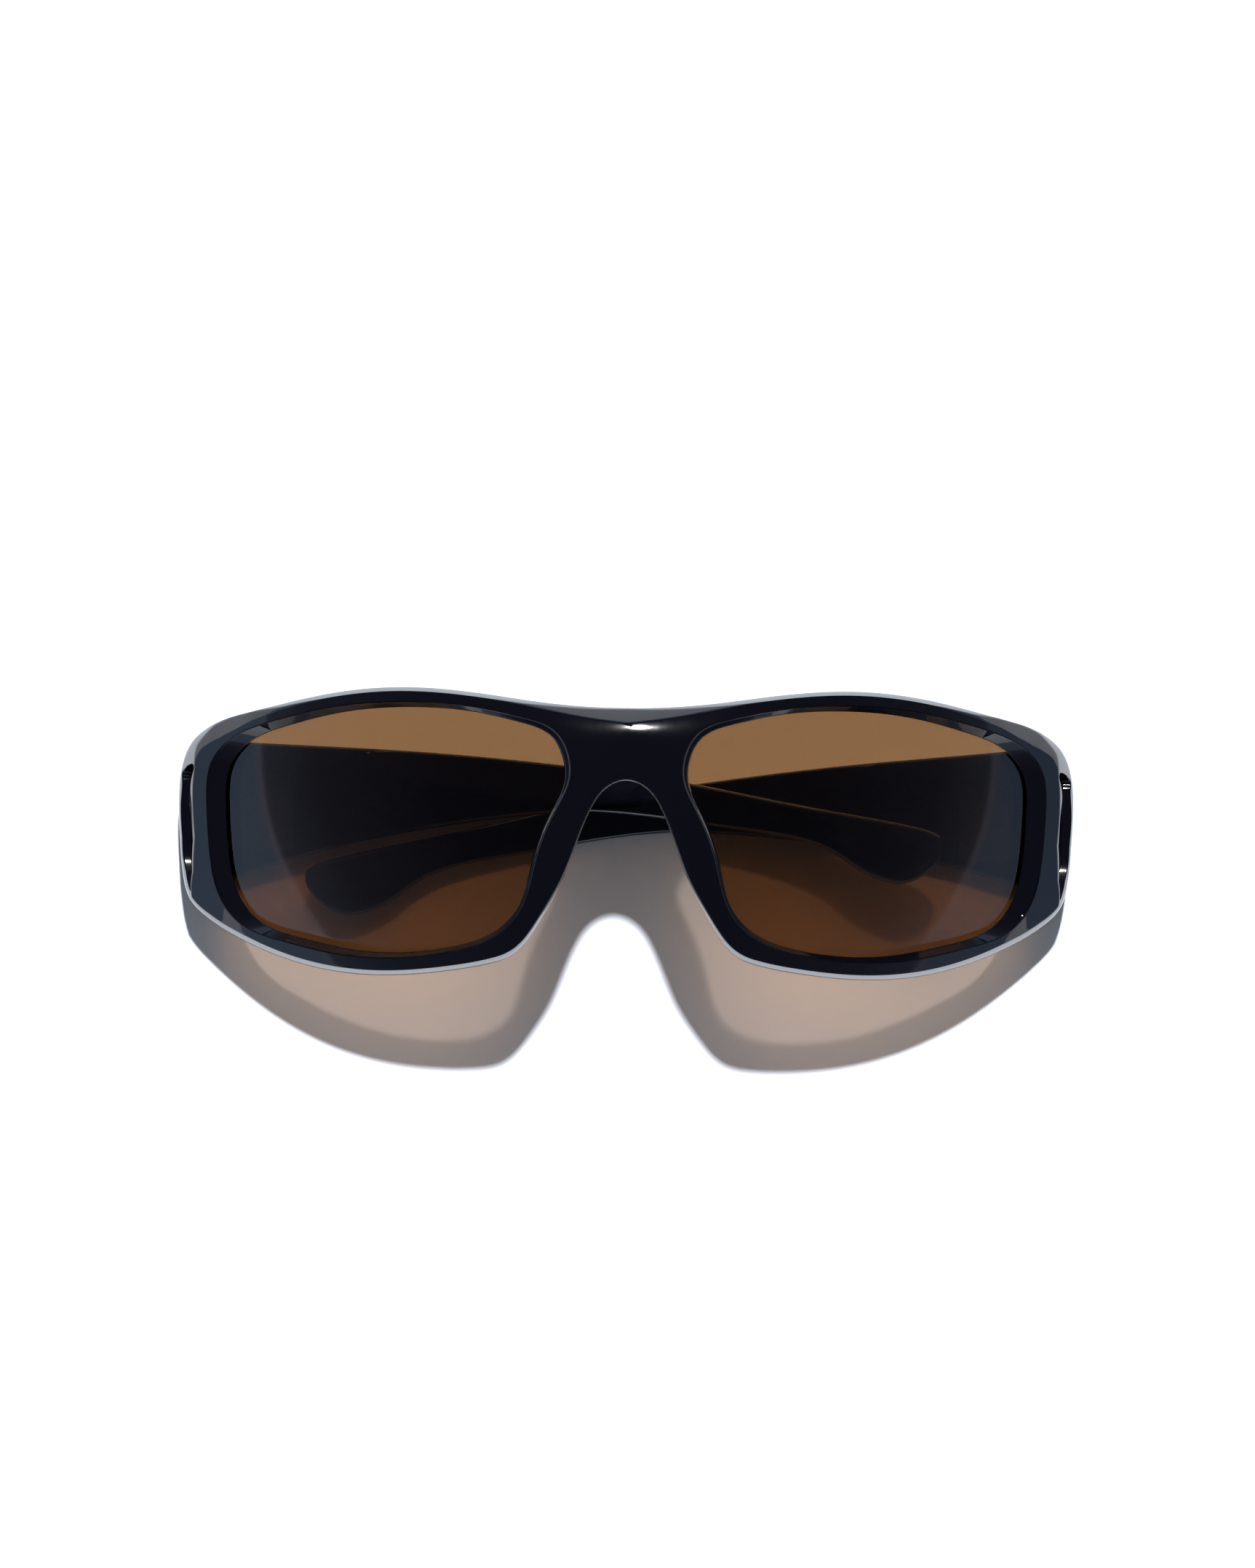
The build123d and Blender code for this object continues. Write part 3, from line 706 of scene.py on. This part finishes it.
def bump(tree, bsdf, source, strength, distance):
    """Bump from a texture's value."""
    node = tree.nodes.new("ShaderNodeBump")
    node.inputs["Strength"].default_value = strength
    node.inputs["Distance"].default_value = distance
    tree.links.new(source, node.inputs["Height"])
    tree.links.new(node.outputs["Normal"], bsdf.inputs["Normal"])


def black_gloss():
    """Polished black nylon: deep navy black, a faint ripple and fine handling haze."""
    made, tree, bsdf = material("black_gloss")
    bsdf.inputs["Base Color"].default_value = (0.0016, 0.0018, 0.0034, 1)
    bsdf.inputs["IOR"].default_value = 1.5
    haze = noise(tree, 90.0, 6.0)
    tree.links.new(ramp(tree, haze.outputs["Fac"], 0.35, 0.75, 0.03, 0.08), bsdf.inputs["Roughness"])
    ripple = noise(tree, 260.0, 2.0)
    bump(tree, bsdf, ripple.outputs["Fac"], 0.03, 0.0004)
    return made


def brown_glass():
    """Brown tinted lens that lets the light through to what lies below."""
    made, tree, bsdf = material("brown_lens")
    tint = (0.182, 0.092, 0.036, 1)
    bsdf.inputs["Base Color"].default_value = tint
    bsdf.inputs["Transmission Weight"].default_value = 1.0
    bsdf.inputs["IOR"].default_value = 1.5
    haze = noise(tree, 60.0, 5.0)
    tree.links.new(ramp(tree, haze.outputs["Fac"], 0.4, 0.8, 0.0, 0.02), bsdf.inputs["Roughness"])
    clear = tree.nodes.new("ShaderNodeBsdfTransparent")
    clear.inputs["Color"].default_value = (0.322, 0.278, 0.242, 1)
    path = tree.nodes.new("ShaderNodeLightPath")
    mix = tree.nodes.new("ShaderNodeMixShader")
    out = tree.nodes["Material Output"]
    tree.links.new(path.outputs["Is Shadow Ray"], mix.inputs["Fac"])
    tree.links.new(bsdf.outputs["BSDF"], mix.inputs[1])
    tree.links.new(clear.outputs["BSDF"], mix.inputs[2])
    tree.links.new(mix.outputs["Shader"], out.inputs["Surface"])
    return made


def metal(name, colour, low, high, grain=900.0):
    """Satin metal with fine tumbling marks."""
    made, tree, bsdf = material(name)
    bsdf.inputs["Metallic"].default_value = 1.0
    bsdf.inputs["Base Color"].default_value = colour
    marks = noise(tree, grain, 4.0)
    tree.links.new(ramp(tree, marks.outputs["Fac"], 0.3, 0.7, low, high), bsdf.inputs["Roughness"])
    bump(tree, bsdf, marks.outputs["Fac"], 0.15, 0.00005)
    return made


def nylon():
    """Natural nylon washer."""
    made, tree, bsdf = material("natural_nylon")
    bsdf.inputs["Base Color"].default_value = (0.62, 0.60, 0.52, 1)
    bsdf.inputs["Subsurface Weight"].default_value = 0.1
    grain = noise(tree, 2500.0, 3.0)
    tree.links.new(ramp(tree, grain.outputs["Fac"], 0.3, 0.7, 0.35, 0.55), bsdf.inputs["Roughness"])
    return made


def dress(piece, made):
    """Gives a piece or CAD node one material."""
    piece.data.materials.clear()
    piece.data.materials.append(made)


# ---------------------------------------------------------------- surroundings
def make_floor():
    """Plain pale table."""
    mesh = bpy.data.meshes.new("table_top")
    reach = 3.0
    mesh.from_pydata([(-reach, -reach, 0), (reach, -reach, 0), (reach, reach, 0), (-reach, reach, 0)], [],
                     [(0, 1, 2, 3)])
    floor = bpy.data.objects.new("table_top", mesh)
    bpy.context.scene.collection.objects.link(floor)
    made, _, bsdf = material("table_white")
    bsdf.inputs["Base Color"].default_value = (0.85, 0.895, 0.985, 1)
    bsdf.inputs["Roughness"].default_value = 0.65
    mesh.materials.append(made)


# The studio as the gloss sees it, from the horizon up to straight overhead
SKY = [(0.0, (0.42, 0.58, 0.84)), (0.245, (0.40, 0.55, 0.80)), (0.256, (0.53, 0.58, 0.78)),
       (0.266, (0.53, 0.58, 0.78)), (0.28, (0.22, 0.26, 0.38)), (0.45, (0.11, 0.12, 0.18)),
       (0.75, (0.045, 0.047, 0.075)), (1.0, (0.03, 0.033, 0.05))]


def make_lights():
    """A hard key light from the brow side and a dim sky that is darkest overhead."""
    sun = bpy.data.lights.new("key", "SUN")
    sun.energy = 5.5
    sun.angle = radians(2.2)
    key = bpy.data.objects.new("key", sun)
    key.rotation_mode = "QUATERNION"
    key.rotation_quaternion = Vector((0.04, 0.478, 1.0)).to_track_quat("Z", "Y")
    bpy.context.scene.collection.objects.link(key)
    world = bpy.data.worlds.new("sky")
    bpy.context.scene.world = world
    world.use_nodes = True
    tree = world.node_tree
    place = tree.nodes.new("ShaderNodeTexCoord")
    split = tree.nodes.new("ShaderNodeSeparateXYZ")
    shade = tree.nodes.new("ShaderNodeValToRGB")
    ends = shade.color_ramp.elements
    for number, (position, colour) in enumerate(SKY):
        stop = ends[number] if number < 2 else ends.new(position)
        stop.position = position
        stop.color = (*colour, 1)
    tree.links.new(place.outputs["Generated"], split.inputs["Vector"])
    tree.links.new(split.outputs["Z"], shade.inputs["Fac"])
    tree.links.new(shade.outputs["Color"], tree.nodes["Background"].inputs["Color"])
    side_light = tree.nodes.new("ShaderNodeMapRange")
    for socket, value in (("From Min", -1), ("From Max", 1), ("To Min", 1.2), ("To Max", 0.8)):
        side_light.inputs[socket].default_value = value
    tree.links.new(split.outputs["X"], side_light.inputs["Value"])
    tree.links.new(side_light.outputs["Result"], tree.nodes["Background"].inputs["Strength"])
    fill = tree.nodes.new("ShaderNodeBackground")
    fill.inputs["Color"].default_value = (0.188, 0.193, 0.2, 1)
    path = tree.nodes.new("ShaderNodeLightPath")
    mix = tree.nodes.new("ShaderNodeMixShader")
    tree.links.new(path.outputs["Is Diffuse Ray"], mix.inputs["Fac"])
    tree.links.new(tree.nodes["Background"].outputs["Background"], mix.inputs[1])
    tree.links.new(fill.outputs["Background"], mix.inputs[2])
    tree.links.new(mix.outputs["Shader"], tree.nodes["World Output"].inputs["Surface"])


# Camera height and the height of the plane that fills the picture, in metres
CAMERA_HEIGHT = 2.5
FOCUS_HEIGHT = 0.030
# Height of the picture's field at that plane, in millimetres
FIELD_HEIGHT = 244.4444


def make_camera():
    """Straight down on the glasses from well above, as far as the picture shows of the table round them."""
    data = bpy.data.cameras.new("camera")
    camera = bpy.data.objects.new("camera", data)
    bpy.context.scene.collection.objects.link(camera)
    bpy.context.scene.camera = camera
    data.sensor_fit = "VERTICAL"
    data.sensor_height = 36.0
    data.clip_start = 0.01
    data.lens = data.sensor_height * (CAMERA_HEIGHT - FOCUS_HEIGHT) / (FIELD_HEIGHT * MM)
    camera.location = (0.00017, 0.0077, CAMERA_HEIGHT)
    camera.rotation_euler = (0, 0, radians(0.6))
    return camera


# ---------------------------------------------------------------- putting it together
gloss = black_gloss()
glass = brown_glass()
hinge_metal = metal("black_plate", (0.035, 0.036, 0.042, 1), 0.25, 0.4)
screw_metal = metal("bright_steel", (0.78, 0.78, 0.78, 1), 0.12, 0.22)
core_metal = metal("plain_wire", (0.55, 0.55, 0.55, 1), 0.3, 0.45)
washer_nylon = nylon()

dress(make_front(), gloss)
for side, name in SIDES:
    dress(make_lens(side, name), glass)
    dress(make_temple(side, name), gloss)
    for node, made in (("front_hinge_leaf", hinge_metal), ("temple_hinge_leaf", hinge_metal),
                       ("front_leaf_pins", hinge_metal), ("temple_leaf_pins", hinge_metal),
                       ("hinge_screw", screw_metal), ("hinge_washer", washer_nylon), ("temple_core", core_metal)):
        dress(frame["nodes"][f"{node}_{name}"], made)

make_floor()
make_lights()
make_camera()
bpy.context.scene.view_settings.view_transform = "Standard"
